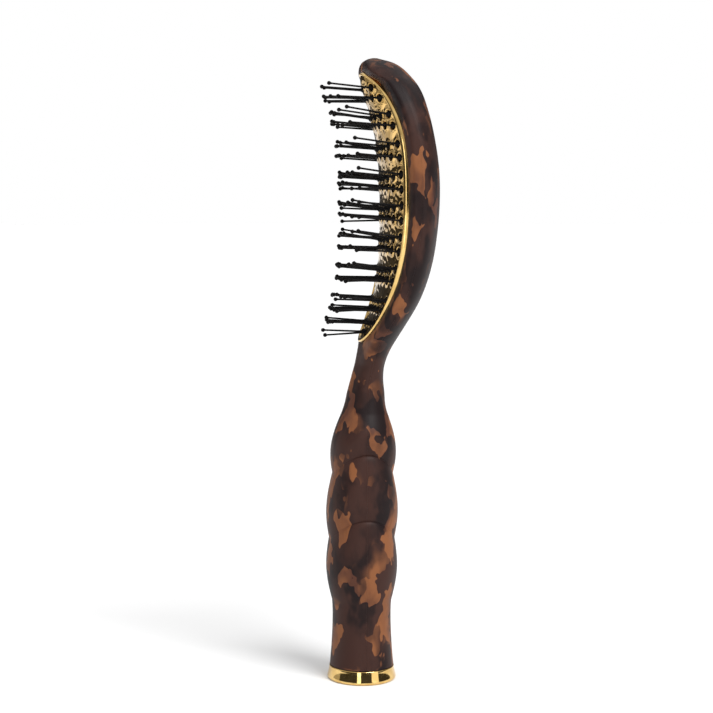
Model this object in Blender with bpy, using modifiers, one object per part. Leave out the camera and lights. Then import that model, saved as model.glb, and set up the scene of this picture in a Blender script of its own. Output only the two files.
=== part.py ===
"""Vanity hairbrush standing on its base cap: a two-shell body, a domed metal-look bristle plate,
nine moulded bristle strips that rock on a rubber pad, and a weighted, capped foot.

The origin is the centre of the flat underside. +Z runs up the handle, the bristles point to -X
and the back of the head to +X. The object is symmetric about the plane y = 0.
"""
import math

import bmesh
import bpy
from mathutils import Vector, geometry

# Driving dimensions, in metres.
WALL = 0.0022  # thickness of the body shells
GAP = 0.0003  # left between pieces that touch
FACE_EXTRA = 0.0016  # added to the wall round the bristle plate
WIDE = 1.12  # the handle's width over its thickness

# Base cap, with a recess in its underside for the foot pad and one on top for the plug.
CAP_HEIGHT = 0.0052
CAP_FOOT_RADIUS = 0.0134
CAP_TOP_RADIUS = 0.0126
CAP_RIM = 0.0016
CAP_SOCKET_DEPTH = 0.0015
CAP_EDGE_ROUND = 0.0008
FOOT_RECESS_RADIUS = 0.0105
FOOT_RECESS_DEPTH = 0.0010

# Inside the stem: the plug under the weight, and the screw that holds it.
PLUG_TOP = 0.0220
PLUG_SHOULDER = 0.0100
PLUG_NECK = (0.0078, 0.0150)  # (radius, height) where the plug narrows
PLUG_TOP_RADIUS = 0.0075
PLUG_CLEARANCE = 0.0007
PLUG_BORE_RADIUS = 0.0040
SCREW_RADIUS = 0.0034
SCREW_DROP = 0.0010  # from the plug's top down to the screw's end
WEIGHT_TOP = 0.0560
WEIGHT_RADIUS = 0.0075
WEIGHT_CHAMFER = 0.0010

# Handle: (height, half-thickness) at each crease, and at the crest of the lobe above it.
STEM_FOOT = (CAP_HEIGHT, 0.0124)
STEM_WAIST = (0.0250, 0.0113)
CREASES = ((0.0308, 0.0115), (0.0550, 0.0127), (0.0802, 0.0117), (0.1042, 0.0088))
CRESTS = ((0.0448, 0.0138), (0.0652, 0.0139), (0.0880, 0.0127))
HANDLE_LEAN = 0.0011  # how far the handle's centre leans back below the neck
CREASE_RISE = 0.0086  # a mesh line at a crease stands this much higher on the handle's sides
HOLLOW_FIRST = 0.0140  # the hollow's second ring
HOLLOW_TOP = 0.2372

# Outlines of the neck and the head in the plane y = 0, as (z, x).
BACK_OUTLINE = (
    (0.1042, 0.0099), (0.1060, 0.0094), (0.1085, 0.0090), (0.1120, 0.0088), (0.1175, 0.0083),
    (0.1230, 0.0088), (0.1290, 0.0110), (0.1369, 0.0154), (0.1492, 0.0220), (0.1616, 0.0260),
    (0.1739, 0.0280), (0.1863, 0.0289), (0.1980, 0.0286), (0.2100, 0.0269), (0.2200, 0.0247),
    (0.2280, 0.0220), (0.2344, 0.0174), (0.2381, 0.0126), (0.2400, 0.0064),
)
FRONT_OUTLINE = (
    (0.1042, -0.0077), (0.1075, -0.0066), (0.1120, -0.0056), (0.1168, -0.0043), (0.1231, -0.0025),
    (0.1290, -0.0006), (0.1330, 0.0006),
)
# The lip of the head above the bristle plate.
HOOD_OUTLINE = (
    (0.2290, 0.0058), (0.2310, 0.0040), (0.2330, 0.0012), (0.2348, 0.0003), (0.2366, 0.0001),
    (0.2382, 0.0004), (0.2394, 0.0014), (0.2400, 0.0034),
)
# Half-width of the neck and the head in the view from the front, as (z, y).
SIDE_OUTLINE = (
    (0.1165, 0.0088), (0.1185, 0.0088), (0.1240, 0.0100), (0.1290, 0.0132),
    (0.1350, 0.0192), (0.1430, 0.0250), (0.1550, 0.0292), (0.1700, 0.0310), (0.1850, 0.0314),
    (0.2000, 0.0308), (0.2120, 0.0290), (0.2220, 0.0258), (0.2300, 0.0212), (0.2355, 0.0155),
    (0.2387, 0.0094), (0.2400, 0.0040),
)

# The face that carries the bristle plate curves like a C: its deepest point, and how far its
# upper and lower ends come forward at SEAT_REACH from that point.
SEAT_DEPTH = 0.0132
SEAT_MID_Z = 0.1880
SEAT_BOW_UP = 0.0125
SEAT_BOW_DOWN = 0.0094
SEAT_REACH = 0.0490
SEAT_POWER_UP = 2.86
SEAT_POWER_DOWN = 2.57

# Bristle plate: an oval dome with a rolled rim. CREST_* give its highest line, on the plane y = 0.
PLATE_MID_Z = 0.1833
PLATE_HALF_LENGTH = 0.0518
PLATE_HALF_WIDTH = 0.0270
PLATE_FULLNESS = 2.3
PLATE_THICKNESS = 0.0012
CREST_X = 0.0080
CREST_Z = 0.1795
CREST_BOW = 0.0092
CREST_REACH = 0.0523
CREST_POWER = 2.7
LEAST_RISE = 0.0010  # of the dome over the seat, near the plate's ends
DOME_POWER = 2.2  # how flat the dome is across
END_POWER = 20  # how suddenly it ends at the top and the bottom
RIM_HEIGHT = 0.0009
RIM_INSETS = (0.00010, 0.00075, 0.00160)  # the rim's outer foot, its top and its inner foot
RIM_POINTS = 48
HOLE_RADIUS = 0.00155
HOLE_SIDES = 6
HOLE_KEEP = 0.78  # a triangle whose centre is nearer a hole's centre than this share is left out
CUT_FRONT = -0.0100  # how far the plate's cutters reach before and behind the seat
CUT_BACK = 0.0140
WINDOW_LIP = 0.0011  # the window under the plate is this much smaller than the plate
RECESS_DEPTH = 0.0017

# Bristles: nine strips of two rows each.
STRIPS = 9
STRIP_PITCH = 0.01165
MID_STRIP_Z = 0.1812
TOP_PULL = 0.0012  # the two end strips sit this much nearer the middle
BOTTOM_PULL = 0.0026
ROW_SPREAD_MID = 0.0013  # half the distance between a strip's rows on the centre line
ROW_SPREAD_RIM = 0.0020  # added to it at the rim
ROW_SPREAD_END = 0.0017  # in place of ROW_SPREAD_MID on the two end strips
PIN_SPACING = 0.0060
EDGE_INSET = 0.0037  # from the plate's edge to the outermost pins
PIN_RADIUS = 0.00050
TIP_RADIUS = 0.00088
PIN_LENGTH = 0.0168  # beyond the plate
PIN_SIDES = 5
ROW_TILT = 0.022  # upper row up, lower row down, as a slope
TILT_BOTTOM = 0.05  # slope of the lowest strip's pins
TILT_TOP = 0.085  # slope of the highest strip's pins
STRIP_HALF_HEIGHT = 0.0042
STRIP_LEAST_HALF_HEIGHT = 0.0012
STRIP_RINGS = 9
STRIP_THICKNESS = 0.0016
BAR_MARGIN = 0.0034  # kept between a strip and the edge of the plate, measured across
END_BAR_MARGIN = 0.0047
STRIP_DEPTH = 0.0030  # from the plate's outer face to the strip's front face
PAD_DEPTH = 0.0058
PAD_THICKNESS = 0.0016
PAD_INSET = 0.0036
PAD_CELLS = (8, 16)  # across and along


def seat_x(z):
    """The C curve of the head's front face."""
    reach = abs(z - SEAT_MID_Z) / SEAT_REACH
    if z > SEAT_MID_Z:
        return SEAT_DEPTH - SEAT_BOW_UP * reach**SEAT_POWER_UP
    return SEAT_DEPTH - SEAT_BOW_DOWN * reach**SEAT_POWER_DOWN


def crest_x(z):
    """The dome's highest line."""
    return CREST_X - CREST_BOW * (abs(z - CREST_Z) / CREST_REACH) ** CREST_POWER


def plate_half_width(z, inset=0.0):
    reach = min(abs(z - PLATE_MID_Z) / (PLATE_HALF_LENGTH - inset), 1.0)
    return (PLATE_HALF_WIDTH - inset) * math.sqrt(1.0 - reach**PLATE_FULLNESS)


def dome_x(y, z):
    """Outer face of the bristle plate, without its rolled rim."""
    half_width = plate_half_width(z)
    if half_width < 1e-6:
        return seat_x(z)
    across = min(abs(y) / half_width, 1.0)
    along = min(abs(z - PLATE_MID_Z) / PLATE_HALF_LENGTH, 1.0)
    rise = max(seat_x(z) - crest_x(z), LEAST_RISE)
    shape = (1.0 - across**DOME_POWER) * math.sqrt(1.0 - along**END_POWER)
    return seat_x(z) - rise * shape


def through(points, z):
    """The smooth curve through (z, value) points, read at z."""
    i = 0
    while i < len(points) - 2 and z > points[i + 1][0]:
        i += 1
    (z0, a), (z1, b) = points[i], points[i + 1]

    def slope(j):
        first = points[max(j - 1, 0)]
        last = points[min(j + 1, len(points) - 1)]
        return (last[1] - first[1]) / (last[0] - first[0])

    span = z1 - z0
    t = min(max((z - z0) / span, 0.0), 1.0)
    start = a * (1 + 2 * t) * (1 - t) ** 2 + b * t * t * (3 - 2 * t)
    return start + span * (slope(i) * t * (1 - t) ** 2 - slope(i + 1) * t * t * (1 - t))


def handle_radius(z):
    """Half-thickness of the handle: a flared stem, then three lobes that meet in creases."""
    if z < STEM_WAIST[0]:
        t = (STEM_WAIST[0] - z) / (STEM_WAIST[0] - STEM_FOOT[0])
        return STEM_WAIST[1] + (STEM_FOOT[1] - STEM_WAIST[1]) * t**1.8
    if z < CREASES[0][0]:
        t = (z - STEM_WAIST[0]) / (CREASES[0][0] - STEM_WAIST[0])
        return STEM_WAIST[1] + (CREASES[0][1] - STEM_WAIST[1]) * t * t
    for low, crest, high in zip(CREASES, CRESTS, CREASES[1:]):
        if z <= crest[0]:
            t = (z - low[0]) / (crest[0] - low[0])
            return low[1] + (crest[1] - low[1]) * math.sin(math.pi / 2 * t)
        if z <= high[0]:
            t = (z - crest[0]) / (high[0] - crest[0])
            return high[1] + (crest[1] - high[1]) * math.cos(math.pi / 2 * t)
    return CREASES[-1][1]


def half_width(z):
    """Half the body's width: the handle narrows smoothly into the neck above its last crest."""
    crest, radius = CRESTS[-1]
    neck, neck_half = SIDE_OUTLINE[0]
    if z <= crest:
        return handle_radius(z) * WIDE
    if z < neck:
        fall = 0.5 + 0.5 * math.cos(math.pi * (z - crest) / (neck - crest))
        return neck_half + (radius * WIDE - neck_half) * fall
    return through(SIDE_OUTLINE, z)


def body_section(z):
    """(front x, back x, half-width, squareness of the front) of the body at a height."""
    if z <= CREASES[-1][0]:
        lean = max(z - CRESTS[0][0], 0.0) / (CREASES[-1][0] - CRESTS[0][0])
        shift = HANDLE_LEAN * lean * lean
        return shift - handle_radius(z), shift + handle_radius(z), half_width(z), 2.0
    head = min(max((z - 0.1231) / 0.012, 0.0), 1.0)
    if z < FRONT_OUTLINE[-1][0]:
        front = through(FRONT_OUTLINE, z)
    elif z < HOOD_OUTLINE[0][0]:
        front = seat_x(z)
    else:
        front = through(HOOD_OUTLINE, z)
    return front, through(BACK_OUTLINE, z), half_width(z), 2.0 + 3.0 * head


def parting_x(z):
    """Where the front and back shells meet."""
    front, back, _, squareness = body_section(z)
    share = 0.5 - 0.18 * (squareness - 2.0) / 3.0
    return front + (back - front) * share


def crease_lift(z, across):
    """How far the mesh line at z rises on the handle's side, so that it follows a crease."""
    fade_in = min(max((z - 0.0330) / 0.0220, 0.0), 1.0)
    fade_out = min(max((0.1042 - z) / 0.0200, 0.0), 1.0)
    return CREASE_RISE * abs(across) ** 1.6 * fade_in * fade_out


def body_ring(z, half, segments, inset=0.0):
    """Points round the body at z: the front half, the back half, or with half None all of it."""
    front, back, width, squareness = body_section(z)
    middle = parting_x(z)
    start, end = {"front": (-1, 1), "back": (1, 3), None: (-1, 3)}[half]
    points = []
    count = segments if half is None else segments + 1
    for i in range(count):
        angle = math.pi / 2 * (start + (end - start) * i / segments)
        across, along = math.sin(angle), math.cos(angle)
        power = squareness if along > 0 else 2.1
        y = (width - inset) * math.copysign(abs(across) ** (2 / power), across)
        if along > 0:
            depth = middle - front - (FACE_EXTRA * (squareness - 2.0) / 3.0 if inset else 0.0)
        else:
            depth = back - middle
        x = -math.copysign(max(depth - inset, 0.0004) * abs(along) ** (2 / power), along)
        points.append(Vector((middle + x, y, z + crease_lift(z, across))))
    return points


def new_object(name, mesh_builder, collection, material):
    """An object from a finished bmesh, with its faces turned outwards."""
    bmesh.ops.remove_doubles(mesh_builder, verts=mesh_builder.verts, dist=1e-6)
    bmesh.ops.recalc_face_normals(mesh_builder, faces=mesh_builder.faces)
    mesh = bpy.data.meshes.new(name)
    mesh_builder.to_mesh(mesh)
    mesh_builder.free()
    mesh.shade_smooth()
    mesh.set_sharp_from_angle(angle=math.radians(35))
    obj = bpy.data.objects.new(name, mesh)
    collection.objects.link(obj)
    if material:
        mesh.materials.append(material)
    return obj


def loft(name, rings, collection, material):
    """A closed solid through rings of equal point counts."""
    bm = bmesh.new()
    rows = [[bm.verts.new(point) for point in ring] for ring in rings]
    count = len(rows[0])
    for low, high in zip(rows, rows[1:]):
        for i in range(count):
            j = (i + 1) % count
            bm.faces.new((low[i], low[j], high[j], high[i]))
    for ring in (rows[0], rows[-1]):
        bm.faces.new(ring)
    return new_object(name, bm, collection, material)


def turned(name, profile, segments, collection, material, widen=WIDE):
    """A solid turned about Z from (radius, z) points, top to bottom, then widened along Y."""
    bm = bmesh.new()
    line = [bm.verts.new((radius, 0.0, z)) for radius, z in profile]
    for a, b in zip(line, line[1:]):
        bm.edges.new((a, b))
    mesh = bpy.data.meshes.new(name)
    bm.to_mesh(mesh)
    bm.free()
    obj = bpy.data.objects.new(name, mesh)
    collection.objects.link(obj)
    screw = obj.modifiers.new("Screw", "SCREW")
    screw.steps = screw.render_steps = segments
    screw.use_merge_vertices = True
    screw.merge_threshold = 0.00001
    bpy.context.view_layer.update()
    graph = bpy.context.evaluated_depsgraph_get()
    solid = bmesh.new()
    solid.from_mesh(obj.evaluated_get(graph).to_mesh())
    bpy.data.objects.remove(obj)
    bmesh.ops.scale(solid, vec=(1.0, widen, 1.0), verts=solid.verts)
    return new_object(name, solid, collection, material)


def boolean(obj, other, operation):
    modifier = obj.modifiers.new(other.name, "BOOLEAN")
    modifier.operation = operation
    modifier.object = other
    modifier.solver = "EXACT"


def hide_as_cutter(obj):
    obj.hide_render = True
    obj.display_type = "WIRE"
    return obj


def material(name, color, metallic, roughness):
    made = bpy.data.materials.new(name)
    made.use_nodes = True
    shader = made.node_tree.nodes["Principled BSDF"]
    shader.inputs["Base Color"].default_value = (*color, 1.0)
    shader.inputs["Metallic"].default_value = metallic
    shader.inputs["Roughness"].default_value = roughness
    made.diffuse_color = (*color, 1.0)
    return made


def clear_scene():
    for obj in list(bpy.data.objects):
        bpy.data.objects.remove(obj)


def ring_heights():
    """Heights of the body's mesh lines: at the creases, and closer where it curves more."""
    heights = [CAP_HEIGHT + GAP, 0.0140, STEM_WAIST[0]]
    for low, crest, high in zip(CREASES, CRESTS, CREASES[1:]):
        heights += [low[0] + share * (crest[0] - low[0]) for share in (0.0, 0.3, 0.62)]
        heights += [crest[0] + share * (high[0] - crest[0]) for share in (0.0, 0.5, 0.8)]
    heights += [z for z, _ in BACK_OUTLINE]
    heights += [0.1330, 0.1430, 0.1555, 0.2040, 0.2150, 0.2240, 0.2315, 0.2364, 0.2392]
    return sorted(heights)


def make_shells(parts, cutters, plastic):
    """The hollow body, split along its sides, with the seat for the bristle plate."""
    heights = ring_heights()
    shells = []
    for name, half, side in (("front_shell", "front", -1), ("back_shell", "back", 1)):
        rings = []
        for z in heights:
            ring = body_ring(z, half, 12)
            rings.append([point + Vector((side * GAP / 2, 0, 0)) for point in ring])
        shells.append(loft(name, rings, parts, plastic))
    inner = [z for z in heights if STEM_WAIST[0] < z < HOLLOW_TOP - GAP / 2]
    rings = [body_ring(CAP_HEIGHT, None, 16, WALL)]
    for point in rings[0]:
        point.z = CAP_HEIGHT - WALL  # so the hollow comes out through the foot
    rings += [body_ring(z, None, 16, WALL) for z in (HOLLOW_FIRST, *inner[::2], HOLLOW_TOP)]
    hollow = hide_as_cutter(loft("hollow", rings, cutters, None))
    window = hide_as_cutter(plate_prism("window", -WINDOW_LIP, CUT_FRONT, CUT_BACK, cutters))
    recess = hide_as_cutter(plate_prism("recess", GAP, CUT_FRONT, RECESS_DEPTH, cutters))
    for shell in shells:
        boolean(shell, hollow, "DIFFERENCE")
    boolean(shells[0], window, "DIFFERENCE")
    boolean(shells[0], recess, "DIFFERENCE")
    return shells


def oval(count, outset):
    """(y, z) points round the plate's outline, moved out by outset."""
    points = []
    for i in range(count):
        angle = 2 * math.pi * (i + 0.5) / count
        c, s = math.cos(angle), math.sin(angle)
        z = PLATE_MID_Z + (PLATE_HALF_LENGTH + outset) * math.copysign(
            abs(s) ** (2 / PLATE_FULLNESS), s
        )
        reach = min(abs(z - PLATE_MID_Z) / (PLATE_HALF_LENGTH + outset), 1.0)
        half_width = (PLATE_HALF_WIDTH + outset) * math.sqrt(1 - reach**PLATE_FULLNESS)
        points.append((math.copysign(half_width, c), z))
    return points


def plate_prism(name, outset, front, back, cutters):
    """A cutter of the plate's outline, from front to back behind the seat curve."""
    rings = []
    steps = 28
    for i in range(steps + 1):
        rise = -math.cos(math.pi * (i + 0.25) / (steps + 0.5))
        z = PLATE_MID_Z + (PLATE_HALF_LENGTH + outset) * rise
        y = plate_half_width(z, -outset)
        x = seat_x(z)
        corners = ((front, -y), (back, -y), (back, y), (front, y))
        rings.append([Vector((x + dx, dy, z)) for dx, dy in corners])
    return loft(name, rings, cutters, None)


def strip_middle(strip):
    middle = MID_STRIP_Z + (STRIPS // 2 - strip) * STRIP_PITCH
    if strip == 0:
        return middle - TOP_PULL
    if strip == STRIPS - 1:
        return middle + BOTTOM_PULL
    return middle


def row_height(strip, member, y):
    """Height on the plate of a strip's upper (1) or lower (-1) row, at a distance y across."""
    spread = ROW_SPREAD_END if strip in (0, STRIPS - 1) else ROW_SPREAD_MID
    reach = (y / PLATE_HALF_WIDTH) ** 2
    return strip_middle(strip) + member * (spread + ROW_SPREAD_RIM * reach)


def pin_places(strip, member):
    """(y, z) of each pin of a row, spread evenly between the rims."""
    edge = plate_half_width(row_height(strip, member, 0.018), inset=EDGE_INSET)
    for _ in range(4):
        edge = plate_half_width(row_height(strip, member, edge), inset=EDGE_INSET)
    count = max(round(2 * edge / PIN_SPACING) + 1, 2)
    if (count + (member > 0)) % 2:
        count += 1 if 2 * edge / PIN_SPACING + 1 > count else -1
    count = max(count, 2)
    places = [edge * (2 * i / (count - 1) - 1) for i in range(count)]
    return [(y, row_height(strip, member, y)) for y in places]


def all_pin_places():
    for strip in range(STRIPS):
        for member in (1, -1):
            for y, z in pin_places(strip, member):
                yield strip, member, y, z


def circle(y, z, radius, sides, turn=0.5):
    return [
        (
            y + radius * math.cos(2 * math.pi * (i + turn) / sides),
            z + radius * math.sin(2 * math.pi * (i + turn) / sides),
        )
        for i in range(sides)
    ]


def make_plate(parts, gold):
    """The dome with a hole for each pin: triangulated flat, lifted to its shape, then thickened."""
    flat, heights, edges = [], [], []
    for inset, lift in zip(RIM_INSETS, (0.0002, -RIM_HEIGHT, -0.0001)):
        first = len(flat)
        outline = oval(RIM_POINTS, -inset)
        for y, z in outline:
            flat.append(Vector((y, z)))
            heights.append(seat_x(z) + lift)
        edges += [(first + i, first + (i + 1) % len(outline)) for i in range(len(outline))]
    holes = [(y, z) for _, _, y, z in all_pin_places()]
    for y, z in holes:
        first = len(flat)
        for corner in circle(y, z, HOLE_RADIUS, HOLE_SIDES):
            flat.append(Vector(corner))
            heights.append(dome_x(*corner))
        edges += [(first + i, first + (i + 1) % HOLE_SIDES) for i in range(HOLE_SIDES)]
    for inset in (0.0029, 0.0052):
        for y, z in oval(RIM_POINTS, -inset):
            if all(math.hypot(y - hy, z - hz) > HOLE_RADIUS + 0.0005 for hy, hz in holes):
                flat.append(Vector((y, z)))
                heights.append(dome_x(y, z))
    verts, _, faces, origin, _, _ = geometry.delaunay_2d_cdt(flat, edges, [], 1, 1e-7)
    bm = bmesh.new()
    made = []
    for vertex, source in zip(verts, origin):
        made.append(bm.verts.new((heights[source[0]], vertex.x, vertex.y)))
    for face in faces:
        y = sum(verts[i].x for i in face) / 3
        z = sum(verts[i].y for i in face) / 3
        if all(math.hypot(y - hy, z - hz) > HOLE_KEEP * HOLE_RADIUS for hy, hz in holes):
            bm.faces.new([made[i] for i in face])
    grown = bmesh.ops.extrude_face_region(bm, geom=bm.faces[:])
    back = [item for item in grown["geom"] if isinstance(item, bmesh.types.BMVert)]
    bmesh.ops.translate(bm, verts=back, vec=(PLATE_THICKNESS, 0, 0))
    return new_object("bristle_plate", bm, parts, gold)


def pin_solid(bm, root, direction, length):
    """A shaft with a ball tip, as one closed skin of rings."""
    rings = (
        (0.0, PIN_RADIUS * 1.25),
        (length - 2.1 * TIP_RADIUS, PIN_RADIUS * 0.95),
        (length - 0.9 * TIP_RADIUS, TIP_RADIUS),
        (length - 0.15 * TIP_RADIUS, TIP_RADIUS * 0.45),
    )
    side = direction.cross(Vector((0, 1, 0))).normalized()
    other = direction.cross(side)
    rows = []
    for along, radius in rings:
        row = []
        for i in range(PIN_SIDES):
            angle = 2 * math.pi * i / PIN_SIDES
            offset = side * math.cos(angle) + other * math.sin(angle)
            row.append(bm.verts.new(root + direction * along + offset * radius))
        rows.append(row)
    for low, high in zip(rows, rows[1:]):
        for i in range(PIN_SIDES):
            j = (i + 1) % PIN_SIDES
            bm.faces.new((low[i], low[j], high[j], high[i]))
    bm.faces.new(rows[0])
    bm.faces.new(rows[-1])


def strip_slope(strip, member):
    """Upward slope of a row's pins."""
    mean = TILT_TOP + (TILT_BOTTOM - TILT_TOP) * strip / (STRIPS - 1)
    return mean + member * ROW_TILT


def bar_reach(middle, side, needed):
    """How far a strip's bar reaches up (side 1) or down where the plate is wide enough for it."""
    reach = STRIP_HALF_HEIGHT
    while plate_half_width(middle + side * reach) < needed and reach > STRIP_LEAST_HALF_HEIGHT:
        reach -= 0.0002
    return reach


def make_strip(strip, parts, cutters, nylon):
    """One moulded strip: a curved bar behind the plate, and its two rows of pins."""
    middle = strip_middle(strip)
    edge = max(abs(y) for member in (1, -1) for y, _ in pin_places(strip, member)) - 0.0002
    margin = END_BAR_MARGIN if strip in (0, STRIPS - 1) else BAR_MARGIN
    rings = []
    for i in range(STRIP_RINGS):
        y = edge * (2 * i / (STRIP_RINGS - 1) - 1)
        corners = []
        for side, dx in ((1, 0), (1, STRIP_THICKNESS), (-1, STRIP_THICKNESS), (-1, 0)):
            z = middle + side * bar_reach(middle, side, abs(y) + margin)
            corners.append(Vector((dome_x(y, z) + STRIP_DEPTH + dx, y, z)))
        rings.append(corners)
    name = f"bristle_strip_{strip + 1}"
    bar = loft(name, rings, parts, nylon)
    bm = bmesh.new()
    for member in (1, -1):
        direction = Vector((-1, 0, strip_slope(strip, member))).normalized()
        for y, z in pin_places(strip, member):
            outer = Vector((dome_x(y, z), y, z))
            buried = STRIP_DEPTH + STRIP_THICKNESS * 0.5
            root = outer - direction * buried
            pin_solid(bm, root, direction, PIN_LENGTH + buried)
    pins = new_object(f"pins_{strip + 1}", bm, cutters, None)
    hide_as_cutter(pins)
    boolean(bar, pins, "UNION")
    return bar


def make_pad(parts, rubber):
    """The rubber sheet that the strips press into."""
    across, along = PAD_CELLS
    bm = bmesh.new()
    grid = []
    for i in range(along + 1):
        angle = math.pi * (i + 0.35) / (along + 0.7)
        z = PLATE_MID_Z - (PLATE_HALF_LENGTH - PAD_INSET) * math.cos(angle)
        half = plate_half_width(z, PAD_INSET)
        row = []
        for j in range(across + 1):
            y = half * (2 * j / across - 1)
            row.append(bm.verts.new((dome_x(y, z) + PAD_DEPTH, y, z)))
        grid.append(row)
    for low, high in zip(grid, grid[1:]):
        for j in range(across):
            bm.faces.new((low[j], low[j + 1], high[j + 1], high[j]))
    grown = bmesh.ops.extrude_face_region(bm, geom=bm.faces[:])
    back = [item for item in grown["geom"] if isinstance(item, bmesh.types.BMVert)]
    bmesh.ops.translate(bm, verts=back, vec=(PAD_THICKNESS, 0, 0))
    return new_object("rubber_pad", bm, parts, rubber)


def make_foot(parts, gold, black, steel):
    """The base cap, the plug that holds it in the stem, the weight on the plug and the foot pad."""
    inner = CAP_FOOT_RADIUS - CAP_RIM
    socket = CAP_HEIGHT - CAP_SOCKET_DEPTH
    lowest = socket + GAP
    cap = (
        (0.0, socket),
        (inner, socket),
        (inner, CAP_HEIGHT),
        (CAP_TOP_RADIUS, CAP_HEIGHT),
        (CAP_FOOT_RADIUS - 0.0001, CAP_EDGE_ROUND + 0.0005),
        (CAP_FOOT_RADIUS, CAP_EDGE_ROUND),
        (CAP_FOOT_RADIUS - 0.0005, 0.0),
        (FOOT_RECESS_RADIUS, 0.0),
        (FOOT_RECESS_RADIUS, FOOT_RECESS_DEPTH),
        (0.0, FOOT_RECESS_DEPTH),
    )
    turned("base_cap", cap, 40, parts, gold)
    pad_radius = FOOT_RECESS_RADIUS - GAP
    pad_top = FOOT_RECESS_DEPTH - GAP
    pad = ((0.0, pad_top), (pad_radius, pad_top), (pad_radius, 0.0), (0.0, 0.0))
    turned("foot_pad", pad, 28, parts, black)
    plug_radius = handle_radius(CAP_HEIGHT) - WALL - PLUG_CLEARANCE
    plug = (
        (PLUG_BORE_RADIUS, PLUG_TOP),
        (PLUG_TOP_RADIUS, PLUG_TOP),
        PLUG_NECK,
        (plug_radius, PLUG_SHOULDER),
        (plug_radius, lowest),
        (PLUG_BORE_RADIUS, lowest),
        (PLUG_BORE_RADIUS, PLUG_TOP),
    )
    turned("stem_plug", plug, 24, parts, black)
    weight = (
        (0.0, WEIGHT_TOP),
        (WEIGHT_RADIUS - WEIGHT_CHAMFER, WEIGHT_TOP),
        (WEIGHT_RADIUS, WEIGHT_TOP - WEIGHT_CHAMFER),
        (WEIGHT_RADIUS, PLUG_TOP + GAP),
        (0.0, PLUG_TOP + GAP),
    )
    turned("balance_weight", weight, 24, parts, steel)
    screw_top = PLUG_TOP - SCREW_DROP
    screw_foot = lowest + GAP
    screw = (
        (0.0, screw_top),
        (SCREW_RADIUS, screw_top),
        (SCREW_RADIUS, screw_foot),
        (0.0, screw_foot),
    )
    turned("plug_screw", screw, 12, parts, steel, widen=1.0)


def main():
    clear_scene()
    parts = bpy.data.collections.new("vanity_hairbrush")
    cutters = bpy.data.collections.new("cutters")
    for collection in (parts, cutters):
        bpy.context.scene.collection.children.link(collection)
    tortoiseshell = material("tortoiseshell_plastic", (0.085, 0.045, 0.028), 0.0, 0.42)
    gold = material("gold_plating", (0.83, 0.60, 0.24), 1.0, 0.12)
    nylon = material("black_nylon", (0.012, 0.011, 0.010), 0.0, 0.25)
    rubber = material("black_rubber", (0.02, 0.02, 0.02), 0.0, 0.7)
    steel = material("plain_steel", (0.55, 0.55, 0.55), 1.0, 0.4)
    make_shells(parts, cutters, tortoiseshell)
    make_plate(parts, gold)
    for strip in range(STRIPS):
        make_strip(strip, parts, cutters, nylon)
    make_pad(parts, rubber)
    make_foot(parts, gold, nylon, steel)


main()
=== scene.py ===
"""Looks of the vanity hairbrush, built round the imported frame.

Metres, +Z up. The bristles point to -X, the back of the head to +X, and the brush is symmetric
about y = 0. The outline functions repeat the design's own, and everything is finer here.
"""

import math
import random

import bmesh
import bpy
from mathutils import Euler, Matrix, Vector, geometry


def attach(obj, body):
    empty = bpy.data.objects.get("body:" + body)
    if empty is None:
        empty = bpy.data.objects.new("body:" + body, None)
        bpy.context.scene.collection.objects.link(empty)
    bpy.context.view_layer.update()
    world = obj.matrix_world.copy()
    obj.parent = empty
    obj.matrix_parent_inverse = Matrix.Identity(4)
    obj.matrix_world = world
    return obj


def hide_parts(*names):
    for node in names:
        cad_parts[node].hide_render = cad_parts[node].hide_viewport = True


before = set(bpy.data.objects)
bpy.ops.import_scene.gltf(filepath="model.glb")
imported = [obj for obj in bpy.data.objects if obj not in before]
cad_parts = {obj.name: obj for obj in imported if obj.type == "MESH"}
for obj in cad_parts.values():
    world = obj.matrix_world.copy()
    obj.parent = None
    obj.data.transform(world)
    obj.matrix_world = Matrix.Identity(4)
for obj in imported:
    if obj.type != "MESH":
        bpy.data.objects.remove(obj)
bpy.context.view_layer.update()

# Body, as in the design, with a step at each of STEP_CREASES. A section is a superellipse: its
# power is ROUND on the handle and ROUND + MORE_SQUARE at the front of the head.
WALL = 0.0022
FACE_EXTRA = 0.0016
SEAM = 0.00003
WIDE = 1.12
ROUND = 2.0
MORE_SQUARE = 3.0
BACK_POWER = 2.1
HEAD_START = 0.1231
HEAD_BLEND = 0.012
PARTING_SHIFT = 0.18
LEAST_DEPTH = 0.0004
SHELL_GAP = 0.0003
HOLLOW_BOTTOM = 0.0060
HOLLOW_TOP = 0.2372
HOLLOW_FOOT_DEPTH = 0.002
CAP_HEIGHT = 0.0052
CAP_FOOT_RADIUS = 0.0134
CAP_TOP_RADIUS = 0.0126
STEM_FOOT = (CAP_HEIGHT, 0.0124)
STEM_WAIST = (0.0250, 0.0113)
CREASES = ((0.0308, 0.0115), (0.0550, 0.0127), (0.0802, 0.0117), (0.1042, 0.0088))
CRESTS = ((0.0448, 0.0138), (0.0652, 0.0139), (0.0880, 0.0127))
HANDLE_LEAN = 0.0011
CREASE_RISE = 0.0086
RISE_POWER = 1.6
RISE_START = 0.0330
RISE_FADE_IN = 0.0220
RISE_FADE_OUT = 0.0200
STEP_CREASES = (0.0550, 0.0802)
STEP_OUT = 0.00060
STEP_OUT_REACH = 0.0060
STEP_ROUNDING = 0.0007
STEP_IN = 0.00042
STEP_IN_REACH = 0.0030
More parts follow.
